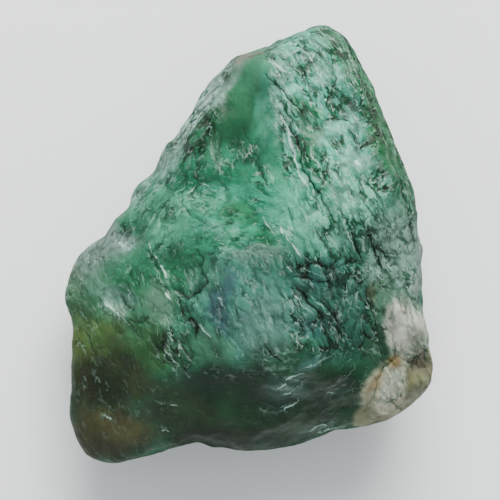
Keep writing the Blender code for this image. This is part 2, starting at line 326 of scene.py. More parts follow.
SPARKLES = {
    "left_edge": Sparkle(((73, 332), (82, 345), (90, 355)), 0.8, 0.45),
    "left_band": Sparkle(((75, 358), (88, 372), (98, 384), (106, 395)), 0.9, 0.35),
    "spray": Sparkle(((168, 302), (173, 320), (178, 340), (182, 360)), 1.3, 0.5),
    "side_strip": Sparkle(((342, 48), (356, 86), (369, 118), (383, 155)), 1.7, 0.45),
    "side_strip_low": Sparkle(((398, 170), (408, 205), (414, 240)), 1.2, 0.28),
    "crown": Sparkle(((250, 352), (276, 358), (300, 350)), 1.6, 0.32),
    "teal": Sparkle(((300, 275), (330, 290), (350, 320)), 4.0, 0.14),
    "low_right": Sparkle(((335, 360), (350, 375), (358, 395)), 1.8, 0.35),
    "brown": Sparkle(((101, 410), (112, 419)), 0.5, 0.7),
    "flank_foot": Sparkle(((222, 138), (232, 150), (250, 160)), 2.2, 0.12),
    "quartz": Sparkle(((390, 366), (394, 378), (384, 396)), 1.6, 0.25),
    "foot_line": Sparkle(((200, 372), (230, 372), (262, 374)), 1.0, 0.35),
    "foot_patch": Sparkle(((308, 432), (326, 427), (342, 424)), 1.0, 0.4),
}

GRAINS = {
    "head_panel": Grain((312, 110), (42, 85), (0.9, 0.0, 0.1), 0.85),
    "smooth_flank": Grain((242, 100), (28, 46), (1.0, 0.0, 0.0), 0.05),
    "flank_bank": Grain((272, 148), (10, 40), (1.0, 0.0, 0.0), 0.20),
    "strip_head": Grain((222, 78), (16, 26), (0.0, 1.0, 0.0), 1.00),
    "flank_foot": Grain((240, 160), (34, 16), (1.0, 0.0, 0.0), 0.50),
    "left_strip": Grain((194, 114), (20, 56), (0.0, 1.0, 0.0), 1.00),
    "side_strip": Grain((376, 125), (20, 80), (0.2, 0.8, 0.0), 0.90),
    "left_field": Grain((150, 215), (40, 40), (0.0, 0.9, 0.1), 0.60),
    "field": Grain((235, 215), (60, 40), (0.4, 0.0, 0.6), 0.55),
    "right_field": Grain((335, 215), (45, 45), (0.9, 0.0, 0.1), 0.80),
    "right_low": Grain((392, 265), (28, 50), (0.8, 0.2, 0.0), 0.70),
    "teal": Grain((335, 300), (50, 42), (0.5, 0.1, 0.4), 0.95),
    "middle": Grain((240, 305), (42, 46), (0.8, 0.2, 0.0), 0.45),
    "shoulder": Grain((100, 265), (35, 35), (0.5, 0.5, 0.0), 0.50),
    "left_middle": Grain((130, 310), (48, 36), (0.6, 0.0, 0.4), 0.40),
    "spray": Grain((175, 335), (16, 36), (0.8, 0.2, 0.0), 0.90),
    "lobe": Grain((110, 400), (52, 60), (0.7, 0.0, 0.3), 0.16),
    "foot": Grain((250, 405), (80, 42), (0.0, 0.2, 0.8), 0.06),
    "foot_right": Grain((340, 395), (32, 40), (0.0, 0.8, 0.2), 0.15),
    "quartz": Grain((400, 365), (34, 60), (0.4, 0.3, 0.3), 0.55),
}

BASE_COLOUR = "#3C7F60"
TINTS = {
    # The paler panel zones, head_panel, panel_white, panel_bank, panel_sheen and panel_foot, are partly
    # the mineral's milky green and partly painted sheen where the panel faces the light.
    "head_panel": Tint((315, 112), (46, 90), 14.0, 0.90, "#72D0B8"),
    "panel_middle": Tint((316, 160), (26, 44), 18.0, 0.60, "#5AC4A2"),
    "panel_white": Tint((282, 72), (16, 20), 20.0, 0.80, "#62AC90"),
    "panel_white_two": Tint((318, 72), (13, 24), 18.0, 0.75, "#60A88C"),
    "panel_white_three": Tint((350, 88), (10, 20), 18.0, 0.60, "#5EA688"),
    "panel_bank": Tint((286, 118), (9, 40), 18.0, 0.70, "#74B8A0"),
    "panel_teal": Tint((347, 108), (13, 16), 10.0, 0.70, "#54A088"),
    "panel_sheen": Tint((352, 165), (20, 9), 20.0, 0.40, "#66B296"),
    "panel_green": Tint((305, 116), (7, 16), 30.0, 0.75, "#2E8A54"),
    "groove_green": Tint((305, 150), (8, 26), 16.0, 0.85, "#237C4C"),
    "groove_vivid": Tint((321, 202), (7, 24), 26.0, 0.85, "#2E9660"),
    "panel_foot": Tint((345, 200), (30, 34), 10.0, 0.60, "#66BE9E"),
    "smooth_flank": Tint((234, 108), (27, 62), -20.0, 0.95, "#2F6C4A"),
    "flank_head": Tint((250, 80), (17, 28), -24.0, 0.85, "#4A946E"),
    "flank_bank": Tint((276, 158), (13, 46), 14.0, 0.80, "#41A07C"),
    "flank_edge": Tint((268, 106), (11, 40), 14.0, 0.85, "#509E80"),
    "flank_core": Tint((240, 142), (20, 18), -14.0, 0.85, "#1C5A3C"),
    "flank_core_two": Tint((262, 150), (12, 18), 0.0, 0.60, "#27785A"),
    # left_strip, strip_white and strip_low are pale partly from the thin edge's own milky grey and partly
    # as painted reflection.
    "left_strip": Tint((196, 112), (12, 62), -36.0, 0.80, "#ACCABE"),
    "strip_head": Tint((224, 74), (9, 20), -48.0, 0.70, "#587C68"),
    "strip_white": Tint((203, 104), (7, 18), -30.0, 0.50, "#A0B4B2"),
    "strip_low": Tint((160, 178), (10, 30), -40.0, 0.65, "#94BEAE"),
    "brow": Tint((282, 42), (44, 6), 26.0, 0.75, "#5C7C66"),
    "apex": Tint((330, 38), (24, 10), -20.0, 0.75, "#4C8E6A"),
    # side_strip and side_strip_dark are darker partly as painted shade on the face that turns away from
    # the light.
    "side_strip": Tint((369, 112), (14, 78), 22.0, 0.92, "#2A8450"),
    "side_strip_dark": Tint((367, 112), (9, 56), 22.0, 0.80, "#17693A"),
    "side_strip_low": Tint((410, 200), (8, 56), 12.0, 0.85, "#41785A"),
    "field": Tint((232, 210), (76, 42), -4.0, 0.85, "#4AC49C"),
    "field_left": Tint((163, 218), (34, 32), 20.0, 0.75, "#68B694"),
    "field_pale_edge": Tint((140, 198), (22, 8), 46.0, 0.55, "#94B8AC"),
    "field_band": Tint((220, 176), (48, 7), 6.0, 0.80, "#2F8C66"),
    "field_mint": Tint((204, 202), (24, 12), -10.0, 0.55, "#68B492"),
    "field_olive": Tint((238, 212), (20, 9), 4.0, 0.65, "#3E8654"),
    "field_arc": Tint((230, 234), (30, 8), 0.0, 0.50, "#74B89A"),
    "field_vivid": Tint((272, 238), (22, 10), -14.0, 0.80, "#2F9262"),
    "field_pale": Tint((254, 257), (30, 8), -2.0, 0.75, "#9CBEA8"),
    # right_field and web_field are paler partly from painted sheen, where the face tilts toward the light.
    "right_field": Tint((300, 228), (26, 34), 20.0, 0.65, "#7EDABA"),
    "web_field": Tint((346, 222), (36, 30), 10.0, 0.60, "#90DAC0"),
    "shoulder": Tint((92, 262), (34, 28), 30.0, 0.85, "#8CA296"),
    "shoulder_white": Tint((122, 241), (16, 10), -30.0, 0.75, "#9CB2AC"),
    "shoulder_green": Tint((132, 270), (32, 16), -8.0, 0.75, "#429A74"),
    "pocket": Tint((190, 272), (16, 22), 0.0, 0.75, "#3E9C70"),
    "left_middle": Tint((124, 302), (46, 32), -10.0, 0.80, "#46966A"),
    "left_olive_edge": Tint((80, 300), (14, 34), 0.0, 0.65, "#5C8060"),
    "left_pale": Tint((158, 308), (15, 18), 0.0, 0.75, "#8CBC9E"),
    "left_mint": Tint((114, 304), (24, 12), -45.0, 0.60, "#98C4B4"),
    "middle": Tint((243, 308), (48, 50), 0.0, 0.85, "#5C9E8E"),
    "middle_green": Tint((212, 280), (18, 16), 0.0, 0.60, "#5E9880"),
    "middle_violet": Tint((225, 302), (10, 28), -8.0, 0.70, "#4A6470"),
    "middle_milk": Tint((264, 325), (20, 32), 0.0, 0.65, "#7AA69A"),
    "middle_foot": Tint((212, 346), (26, 16), -20.0, 0.65, "#5A9070"),
    "teal": Tint((334, 300), (50, 46), 10.0, 0.90, "#529A84"),
    "teal_dark": Tint((318, 278), (34, 18), -6.0, 0.75, "#3A7066"),
    "teal_dark_two": Tint((346, 322), (26, 30), 20.0, 0.70, "#30604E"),
    "teal_pale": Tint((298, 312), (12, 26), 0.0, 0.65, "#62948A"),
    "teal_blue": Tint((312, 322), (13, 9), 0.0, 0.6, "#42726C"),
    "right_low": Tint((394, 262), (30, 42), 0.0, 0.85, "#98BCAA"),
    "right_olive": Tint((376, 300), (11, 26), 0.0, 0.75, "#5E8468"),
    "right_grey": Tint((414, 266), (8, 36), 0.0, 0.60, "#A2B2A8"),
    "olive": Tint((92, 344), (36, 30), 20.0, 0.90, "#6C804A"),
    "olive_bright": Tint((98, 336), (20, 10), -30.0, 0.70, "#5F8850"),
    "olive_green": Tint((150, 348), (34, 24), -10.0, 0.75, "#466C3C"),
    # Darker towards the bottom, from dark_lobe to foot_streak: partly the mineral's deep green, partly
    # painted shade on the side that faces away from the light. The browns of the lobes are painted shade
    # from behind, seen through the stone.
    "dark_lobe": Tint((108, 380), (42, 30), 0.0, 0.95, "#2C341E"),
    "dark_edge": Tint((76, 392), (16, 30), 0.0, 0.70, "#3C3A22"),
    "lobe_tan": Tint((146, 386), (22, 14), -20.0, 0.75, "#4A5434"),
    "lobe_grey": Tint((156, 412), (20, 12), 15.0, 0.60, "#46524A"),
    "brown_lobe": Tint((102, 436), (52, 32), 10.0, 0.95, "#48462E"),
    "brown_light": Tint((112, 426), (34, 16), -14.0, 0.70, "#666642"),
    "foot": Tint((262, 408), (96, 54), 4.0, 0.97, "#2C4E32"),
    "foot_left": Tint((184, 412), (34, 34), 0.0, 0.75, "#323C28"),
    "foot_dark": Tint((236, 378), (58, 16), 0.0, 0.75, "#24402F"),
    "foot_brown": Tint((225, 437), (44, 12), 0.0, 0.65, "#282E1C"),
    "crumple": Tint((286, 386), (18, 12), 30.0, 0.60, "#486C62"),
    "lozenge": Tint((312, 362), (17, 7), 32.0, 0.7, "#56847A"),
    "foot_right": Tint((342, 392), (26, 34), -20.0, 0.75, "#1E4626"),
    "right_foot": Tint((372, 348), (16, 22), 0.0, 0.85, "#3A5E46"),
    "foot_streak": Tint((328, 393), (15, 5), 24.0, 0.50, "#466656"),
    "bump": Tint((244, 60), (12, 5), 22.0, 0.85, "#7C786A"),
}

QUARTZ_PATCHES = {
    "upper": Tint((403, 330), (22, 33), 14.0, 1.0, "#CED4C2"),
    "lower": Tint((391, 388), (27, 34), -34.0, 1.0, "#D0CEB0"),
    "tip": Tint((419, 372), (20, 26), 0.0, 1.0, "#90906A"),
    "corner": Tint((368, 416), (15, 9), 10.0, 1.0, "#A2A684"),
}
QUARTZ_TINTS = {
    "upper_white": Tint((400, 320), (15, 18), 14.0, 0.8, "#E0E0D2"),
    "upper_grey": Tint((416, 342), (9, 16), 10.0, 0.6, "#9A9C8C"),
    "lower_white": Tint((388, 382), (13, 20), -30.0, 0.8, "#DCDCCA"),
    "clear_band": Tint((418, 362), (16, 9), -30.0, 0.8, "#7C7660"),
    "olive_band": Tint((410, 398), (20, 8), 40.0, 0.7, "#84866A"),
    "foot_tan": Tint((378, 416), (16, 6), 10.0, 0.6, "#9C967C"),
}
RUSTS = {
    "upper_rust": Tint((391, 356), (6, 8), -20.0, 0.75, "#A0803A"),
    "seam_rust": Tint((373, 380), (4, 14), -20.0, 0.65, "#8A7038"),
    "low_rust": Tint((367, 407), (5, 10), -30.0, 0.45, "#84805A"),
    "crack_rust": Tint((367, 292), (4, 12), 0.0, 0.6, "#6A6A38"),
    "mint_rust": Tint((232, 210), (6, 3), 0.0, 0.25, "#6E8E60"),
}


def linear(colour: str) -> tuple[float, float, float]:
    """Turns an sRGB hex colour into linear light.

    Args:
        colour: The colour, such as "#2F7F5C".

    Returns:
        Its red, green and blue, from 0 to 1.
    """
    shares = (int(colour[start : start + 2], 16) / 255 for start in (1, 3, 5))
    return tuple(s / 12.92 if s <= 0.04045 else ((s + 0.055) / 1.055) ** 2.4 for s in shares)


def from_photo(spots: tuple) -> np.ndarray:
    """Turns pixels of the photograph into millimetres of the frame.

    Args:
        spots: One spot or several, across and down, in pixels.

    Returns:
        The same spots as x and y in millimetres.
    """
    return (np.array(spots, float) - MIDDLE_PIXEL) * (PIXEL, -PIXEL)


def smooth_step(value: np.ndarray, low: float, high: float) -> np.ndarray:
    """Goes from 0 at low to 1 at high, with no corner.

    Args:
        value: The values.
        low: Where it leaves 0.
        high: Where it comes to 1.

    Returns:
        Shares from 0 to 1.
    """
    share = np.clip((value - low) / (high - low), 0.0, 1.0)
    return share * share * (3.0 - 2.0 * share)


def across_path(path: tuple, flat: np.ndarray) -> tuple[np.ndarray, np.ndarray]:
    """Finds how far each place is from a stroke, and how far along the stroke that is.

    Args:
        path: The stroke's points, in pixels of the photograph.
        flat: The places, as rows of x and y in millimetres.

    Returns:
        Gaps in millimetres, below 0 on the stroke's right, and a taper that is 0 at both ends.
    """
    points = from_photo(path)
    spans = np.hypot(*np.diff(points, axis=0).T)
    nearest = np.full(len(flat), np.inf)
    taper = np.zeros(len(flat))
    walked = 0.0
    for start, end, span in zip(points, points[1:], spans):
        run = (end - start) / span
        along = np.clip((flat - start) @ run, 0.0, span)
        offset = flat - start
        distance = np.hypot(*(offset - along[:, np.newaxis] * run).T)
        side = np.where(run[0] * offset[:, 1] - run[1] * offset[:, 0] < 0.0, -1.0, 1.0)
        closer = distance < np.abs(nearest)
        travelled = (walked + along) / spans.sum()
        nearest = np.where(closer, side * distance, nearest)
        taper = np.where(closer, np.sqrt(4.0 * travelled * (1.0 - travelled)), taper)
        walked += span
    return nearest, taper


def tapered(width: float, taper: np.ndarray) -> np.ndarray:
    """Thins a stroke's width out towards its ends."""
    return width * (END_WIDTH + (1.0 - END_WIDTH) * taper)


def along_path(path: tuple, flat: np.ndarray, width: float) -> np.ndarray:
    """How much each place belongs to a stroke that is widest halfway and thins out to both ends.

    Args:
        path: The stroke's points, in pixels of the photograph.
        flat: The places, as rows of x and y in millimetres.
        width: The stroke's half width halfway, in millimetres.

    Returns:
        Shares from 0 to 1.
    """
    gap, taper = across_path(path, flat)
    return taper * np.exp(-((gap / tapered(width, taper)) ** 2))


def within(patch: Patch, flat: np.ndarray, feather: float) -> np.ndarray:
    """How much each place belongs to a soft oval.

    Args:
        patch: The oval.
        flat: The places, as rows of x and y in millimetres.
        feather: How soft the oval's edge is, as a share of its size.

    Returns:
        Shares from 0 to the oval's strength.
    """
    gap = flat - from_photo(patch.place)
    turn = math.radians(patch.turn_deg)
    across = (gap[:, 0] * math.cos(turn) + gap[:, 1] * math.sin(turn)) / (patch.half[0] * PIXEL)
    along = (gap[:, 1] * math.cos(turn) - gap[:, 0] * math.sin(turn)) / (patch.half[1] * PIXEL)
    return patch.strength * (1.0 - smooth_step(np.hypot(across, along), 1.0 - feather, 1.0 + feather))


def noise_at(places: np.ndarray, pitch: float, octaves: int, shift: float) -> np.ndarray:
    """Smooth noise, from about -1 to 1.

    Args:
        places: Where, as rows in millimetres.
        pitch: How many features there are in a millimetre.
        octaves: How many layers there are, each finer than the last.
        shift: Moves to another part of the same noise.

    Returns:
        One value for each place.
    """
    rows = places * pitch + shift
    return np.array([noise.fractal(row, LAYER_FALL, 2.0, octaves) for row in rows])


def noises_at(places: np.ndarray, pitch: float, octaves: int, shifts: tuple) -> np.ndarray:
    """Several smooth noises side by side.

    Args:
        places: Where, as rows in millimetres.
        pitch: How many features there are in a millimetre.
        octaves: How many layers there are, each finer than the last.
        shifts: Where in the noise each of them starts.

    Returns:
        One row for each place.
    """
    return np.column_stack([noise_at(places, pitch, octaves, shift) for shift in shifts])


def ridges_at(places: np.ndarray, pitch: float, octaves: int, shift: float) -> np.ndarray:
    """Noise with sharp crests, from about 0 to 1.

    Args:
        places: Where, as rows in millimetres.
        pitch: How many features there are in a millimetre.
        octaves: How many layers there are, each finer than the last.
        shift: Moves to another part of the same noise.

    Returns:
        One value for each place.
    """
    rows = places * pitch + shift
    values = [noise.ridged_multi_fractal(row, LAYER_FALL, 2.1, octaves, 1.0, 2.0) for row in rows]
    return np.clip(np.array(values) / RIDGE_TOP, 0.0, 1.0)


def tinted(colours: np.ndarray, share: np.ndarray, colour: str) -> np.ndarray:
    """Blends a colour into rows of colours.

    Args:
        colours: The rows, in linear light.
        share: How much each row takes of the new colour.
        colour: The new colour, in hex.

    Returns:
        The blended rows.
    """
    share = share[:, np.newaxis]
    return colours * (1.0 - share) + share * linear(colour)


def read_rows(layer: bpy.types.bpy_prop_collection, name: str, width: int, kind: type) -> np.ndarray:
    """Reads one property of every vertex or edge.

    Args:
        layer: The mesh's vertices or edges.
        name: The property.
        width: How many numbers it holds.
        kind: What sort of number they are.

    Returns:
        One row for each vertex or edge.
    """
    values = np.empty(len(layer) * width, kind)
    layer.foreach_get(name, values)
    return values.reshape(-1, width)


def per_metre(size: float) -> float:
    """How many times a pattern of a size in millimetres fits into a metre."""
    return 1.0 / (size * MM)


@dataclass(frozen=True)
class Blotches:
    """Noise that makes something stronger in some places than in others.

    It has its features in a millimetre and where it starts, the strength it swings about and how
    far, and the least and the most that it comes to.
    """

    pitch: float
    shift: float
    middle: float
    swing: float
    least: float
    most: float

    def at(self, places: np.ndarray) -> np.ndarray:
        """Works the strength out.

        Args:
            places: Where, as rows in millimetres.

        Returns:
            One strength for each place.
        """
        swings = self.swing * noise_at(places, self.pitch, octaves=2, shift=self.shift)
        return np.clip(self.middle + swings, self.least, self.most)


class Skin:
    """The chunk's fine surface: its points, the way each faces, and the maps painted on it.

    Its bent and jagged places are its points shifted a little, so that what is drawn there
    wanders or shakes. Its front is where its face looks up.
    """

    FRONT_RISE = (0.05, 0.35)
    BEND_REACH = 0.9
    JAG_REACH = 0.34

    def __init__(self, mesh: bpy.types.Mesh) -> None:
        """Reads a mesh.

        Args:
            mesh: The even fine mesh, in metres.
        """
        self.mesh = mesh
        self.places = read_rows(mesh.vertices, "co", 3, np.float32).astype(float) / MM
        self.normals = read_rows(mesh.vertices, "normal", 3, np.float32).astype(float)
        self.edges = read_rows(mesh.edges, "vertices", 2, np.int32)
        self.flat = self.places[:, :2].copy()
        self.front = smooth_step(self.normals[:, 2], *self.FRONT_RISE)
        bend = noises_at(self.places, pitch=0.35, octaves=3, shifts=(13.0, 37.0, 71.0))
        self.bent = self.places + self.BEND_REACH * bend
        jag = noises_at(self.places, pitch=0.8, octaves=3, shifts=(3.0, 41.0))
        self.jagged = self.flat + self.JAG_REACH * jag

    def spread(self, values: np.ndarray, rounds: int) -> np.ndarray:
        """Blurs values along the surface by averaging neighbours.

        Args:
            values: One value for each point.
            rounds: How many times.

        Returns:
            The blurred values.
        """
        first, second = self.edges.T
        count = len(values)
        degree = np.bincount(first, minlength=count) + np.bincount(second, minlength=count)
        for _ in range(rounds):
            total = np.bincount(first, values[second], count) + np.bincount(second, values[first], count)
            values = 0.5 * values + 0.5 * total / np.maximum(degree, 1)
        return values

    def push(self, heights: np.ndarray, low: Vector, high: Vector) -> None:
        """Moves each point along the way it faces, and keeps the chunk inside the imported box.

        Args:
            heights: How far, in millimetres.
            low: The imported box's lowest corner, in metres.
            high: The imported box's highest corner, in metres.
        """
        moved = self.places + self.normals * heights[:, np.newaxis]
        self.places = np.clip(moved, np.array(low) / MM, np.array(high) / MM)
        self.mesh.vertices.foreach_set("co", (self.places * MM).astype(np.float32).ravel())
        self.mesh.update()

    def paint(self, mark: Mark, values: np.ndarray) -> None:
        """Stores a map for the material.

        Args:
            mark: Which map.
            values: One number, or one row of three, for each point.
        """
        if mark is Mark.TINT:
            kind, name = "FLOAT_COLOR", "color"
            values = np.column_stack((values, np.ones(len(values))))
        elif values.ndim == 1:
            kind, name = "FLOAT", "value"
        else:
            kind, name = "FLOAT_VECTOR", "vector"
        layer = self.mesh.attributes.new(mark.value, kind, "POINT")
        layer.data.foreach_set(name, values.astype(np.float32).ravel())


@dataclass
class Chunk:
    """The whole specimen: fluorite and the quartz corner that grew on it, in one piece.

    Lengths are millimetres, and a pitch is a number of features in a millimetre. A rise is the
    upward part of the way a face looks, and a pair of them says where something starts and ends.
    """

    weld_gap: float = 0.001
    voxel: float = 0.56
    smoothings: int = 3
    front_rise: float = 0.1
    soft_rise: tuple = (0.45, 0.8)
    softening: float = 0.85
    soft_rounds: int = 31
    crisp_rounds: int = 9
    crisp_range: tuple = (0.02, 0.3)
    # Convex ripples are whitened as a painted highlight, and hollow ones darkened as painted shade.
    crisp_highlight: float = 1.2
    crisp_shade: float = 1.8
    ripple_height: float = 0.30
    ripple_pitch: float = 0.45
    ripple_blotches: Blotches = Blotches(0.28, 33.0, 0.85, 0.9, 0.35, 1.3)
    fine_height: float = 0.13
    fine_pitch: float = 1.2
    swell_height: float = 0.2
    swell_pitch: float = 0.22
    region_focus: float = 1.6
    crest_share: float = 0.6
    # Whitening around the crests: painted highlight.
    crest_highlight: float = 0.6
    crest_highlight_width: float = 1.5
    crest_blotches: Blotches = Blotches(0.55, 61.0, 0.75, 0.8, 0.15, 1.0)
    # How much the cracks are darkened: painted shade.
    crack_shade_strength: float = 0.5
    rest_rise: float = -0.95
    rest_height: float = 0.6
    line_share: float = 0.42
    widest_line: float = 0.5
    line_ends: tuple = (0.45, 0.9)
    zone_feather: float = 0.5
    zone_wander: float = 1.9
    zone_streak: float = 1.6
    quartz_wander: float = 1.1
    quartz_feather: float = 0.2
    rust_feather: float = 0.6
    side_wrinkle: float = 0.5
    # How much the steep sides are darkened: painted shade.
    side_shade: float = 0.3
    side_rise: tuple = (0.25, 0.65)
    side_dullness: float = 0.5
    cut_dullness: float = 0.3
    light_path: float = 1.15
    light_share: float = 0.56

    def build(self, low: Vector, high: Vector) -> bpy.types.Object:
        """Makes the chunk and paints its maps.

        Args:
            low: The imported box's lowest corner, in metres.
            high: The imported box's highest corner, in metres.

        Returns:
            The finished piece.
        """
        piece = self.fine_copy()
        skin = Skin(piece.data)
        self.soften(skin)
        runs, wrinkle = self.runs(skin)
        heights, frost_and_highlight, crease_shade = self.relief(skin, runs, wrinkle)
        self.paint_zones(skin, runs)
        steep = 1.0 - smooth_step(skin.normals[:, 2], *self.side_rise)
        maps = {
            Mark.CRACK: self.lines(skin, [(c.path, c.width, c.dark) for c in CRACKS.values()]),
            Mark.CREST: self.lines(skin, [(c.path, c.width, c.frost_and_highlight) for c in CRESTS.values()]),
            Mark.RUNS: runs,
            Mark.WRINKLE: wrinkle,
            Mark.FROST_AND_HIGHLIGHT: frost_and_highlight,
            # Painted shade in cracks, hollows and on steep sides. It also makes them duller.
            Mark.CUT: np.maximum(crease_shade, self.side_shade * (1.0 - skin.front)),
            Mark.DULL: self.cut_dullness * crease_shade + self.side_dullness * steep,
            Mark.SPARKLE: self.sparkles(skin),
        }
        for mark, values in maps.items():
            skin.paint(mark, values)
        skin.push(heights, low, high)
        piece.data.shade_smooth()
        return piece

    def soften(self, skin: Skin) -> None:
        """Rounds off the broad face's creases, without moving its outline.

        Args:
            skin: The chunk's surface.
        """
        height = skin.places[:, 2]
        share = self.softening * smooth_step(skin.normals[:, 2], *self.soft_rise)
        skin.places[:, 2] = height + share * (skin.spread(height, self.soft_rounds) - height)

    def fine_copy(self) -> bpy.types.Object:
        """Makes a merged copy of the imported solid, with an even mesh that is finest on the front.

        Returns:
            The copy, a new object.
        """
        shape = bmesh.new()
        shape.from_mesh(bpy.data.objects[CHUNK_NODE].data)
        bmesh.ops.remove_doubles(shape, verts=shape.verts, dist=self.weld_gap * MM)
        rough = bpy.data.meshes.new("rough_copy")
        shape.to_mesh(rough)
        shape.free()
        carrier = bpy.data.objects.new("rough_copy", rough)
        bpy.context.scene.collection.objects.link(carrier)
        remesh = carrier.modifiers.new("Even mesh", "REMESH")
        remesh.mode = "VOXEL"
        remesh.voxel_size = self.voxel * MM
        ready = carrier.evaluated_get(bpy.context.evaluated_depsgraph_get())
        fine = bmesh.new()
        fine.from_mesh(ready.to_mesh())
        self.ease(fine)
        front = [edge for edge in fine.edges if all(f.normal.z > self.front_rise for f in edge.link_faces)]
        bmesh.ops.subdivide_edges(fine, edges=front, cuts=1, use_grid_fill=True)
        self.ease(fine)
        mesh = bpy.data.meshes.new("fluorite_stone")
        fine.to_mesh(mesh)
        fine.free()
        bpy.data.objects.remove(carrier)
        bpy.data.meshes.remove(rough)
        piece = bpy.data.objects.new("fluorite_stone", mesh)
        bpy.context.scene.collection.objects.link(piece)
        return piece

    def ease(self, shape: bmesh.types.BMesh) -> None:
        """Smooths a shape a little.

        Args:
            shape: The shape.
        """
        for _ in range(self.smoothings):
            bmesh.ops.smooth_vert(
                shape, verts=shape.verts, factor=0.5, use_axis_x=True, use_axis_y=True, use_axis_z=True
            )

    def runs(self, skin: Skin) -> tuple[np.ndarray, np.ndarray]:
        """Works out which way the ripples run at each point, and how strong they are.

        Args:
            skin: The chunk's surface.

        Returns:
            Rows with the shares of the three runs, and the strength of the ripples.
        """
        nearness = []
        for grain in GRAINS.values():
            gap = (skin.flat - from_photo(grain.place)) / (np.array(grain.reach) * PIXEL)
            nearness.append((np.exp(-self.region_focus * np.sum(gap * gap, axis=1)) + TINY) ** 2)
        nearness = np.array(nearness).T
        nearness /= nearness.sum(axis=1, keepdims=True)
        runs = nearness @ np.array([grain.shares for grain in GRAINS.values()])
        strength = nearness @ np.array([grain.wrinkle for grain in GRAINS.values()])
        patchy = self.ripple_blotches.at(skin.places)
        return runs, patchy * (skin.front * strength + (1.0 - skin.front) * self.side_wrinkle)

    def along_runs(
        self, skin: Skin, runs: np.ndarray, pitch: float, octaves: int, shift: float
    ) -> np.ndarray:
        """Works out ridges that are drawn out along the runs.

        Args:
            skin: The chunk's surface.
            runs: Rows with the shares of the three runs.
            pitch: How many ridges there are in a millimetre across the run.
            octaves: How many layers there are, each finer than the last.
            shift: Moves to another part of the same noise.

        Returns:
            One value for each point, from about -0.5 to 0.5.
        """
        total = np.zeros(len(skin.flat))
        for share, run in zip(runs.T, Run):
            lean_deg, stretch = run.value
            lean = math.radians(lean_deg)
            along = skin.bent[:, :2] @ (math.cos(lean), math.sin(lean)) / stretch
            across = skin.bent[:, :2] @ (-math.sin(lean), math.cos(lean))
            rows = np.column_stack((along, across, skin.bent[:, 2]))
            total += share * ridges_at(rows, pitch, octaves, shift)
        return total - 0.5

    def relief(
        self, skin: Skin, runs: np.ndarray, wrinkle: np.ndarray
    ) -> tuple[np.ndarray, np.ndarray, np.ndarray]:
        """Works out how far each point stands out, how much it is whitened by frosting and painted
        highlight, and how much painted shade it gets.

        Args:
            skin: The chunk's surface.
            runs: Rows with the shares of the three runs.
            wrinkle: The strength of the ripples.

        Returns:
            Heights in millimetres, frosting and painted highlight from 0 to 1, and painted shade from 0 to
            1.
        """
        broad = self.along_runs(skin, runs, self.ripple_pitch, octaves=3, shift=0.0)
        fine = self.along_runs(skin, runs, self.fine_pitch, octaves=2, shift=17.0)
        heights = wrinkle * (self.ripple_height * broad - self.fine_height * fine)
        heights += self.swell_height * noise_at(skin.places, self.swell_pitch, octaves=3, shift=5.0)
        frost_and_highlight = np.zeros(len(wrinkle))
        crease_shade = np.zeros(len(wrinkle))
        patchy = self.crest_blotches.at(skin.places)
        # Frosting zones: partly milky frosting, partly painted sheen.
        for patch in FROST_AND_SHEEN_ZONES.values():
            frost_and_highlight = np.maximum(frost_and_highlight, skin.front * within(patch, skin.bent[:, :2], self.zone_feather))
        # Crests rise in the mesh and are whitened around as a painted highlight.
        for crest in CRESTS.values():
            near = skin.front * along_path(crest.path, skin.jagged, crest.width)
            heights += self.crest_share * crest.height * near * patchy
            wide = along_path(crest.path, skin.jagged, self.crest_highlight_width * crest.width)
            frost_and_highlight = np.maximum(frost_and_highlight, self.crest_highlight * crest.frost_and_highlight * (skin.front * wide))
        # Cracks sink into the mesh and are darkened as painted shade.
        for crack in CRACKS.values():
            near = skin.front * along_path(crack.path, skin.jagged, crack.width)
            heights -= crack.depth * near
            crease_shade = np.maximum(crease_shade, self.crack_shade_strength * crack.dark * near)
        resting = (skin.normals[:, 2] < self.rest_rise) & (skin.places[:, 2] < self.rest_height)
        heights = np.where(resting, 0.0, heights)
        # Convex ripples get painted highlight, and hollow ones painted shade.
        crisp = heights - skin.spread(heights, self.crisp_rounds)
        least, most = self.crisp_range
        frost_and_highlight += self.crisp_highlight * wrinkle * np.clip(crisp - least, 0.0, most)
        crease_shade += self.crisp_shade * wrinkle * np.clip(-crisp - least, 0.0, most)
        return heights, np.clip(frost_and_highlight, 0.0, 1.0), np.clip(crease_shade, 0.0, 1.0)

    def lines(self, skin: Skin, strokes: list[tuple]) -> np.ndarray:
        """Works out where the nearest stroke runs, so that the material can draw it as a thin line.

        Args:
            skin: The chunk's surface.
            strokes: The path, half width and strength of each stroke.

        Returns:
            Rows with the gap to the stroke, below 0 on its right, its strength there, and its
            half width. Lengths are millimetres.
        """
        rows = np.column_stack((np.full(len(skin.flat), FAR), np.zeros((len(skin.flat), 2))))
        for path, half_width, strength in strokes:
            gap, taper = across_path(path, skin.jagged)
            fade = 1.0 - smooth_step(np.abs(gap), *self.line_ends)
            share = skin.front * strength * np.sqrt(taper) * fade
            width = tapered(self.line_share * min(half_width, self.widest_line), taper)
            closer = np.abs(gap) < np.abs(rows[:, 0])
            rows[closer] = np.column_stack((gap, share, width))[closer]
        return rows

    def sparkles(self, skin: Skin) -> np.ndarray:
        """Works out how strong the bright hooks, painted glints beside painted shade, are at each point.

        Args:
            skin: The chunk's surface.

        Returns:
            Shares from 0 to 1.
        """
        found = np.zeros(len(skin.flat))
        for band in SPARKLES.values():
            found = np.maximum(found, band.strength * along_path(band.path, skin.flat, band.width))
        return skin.front * found

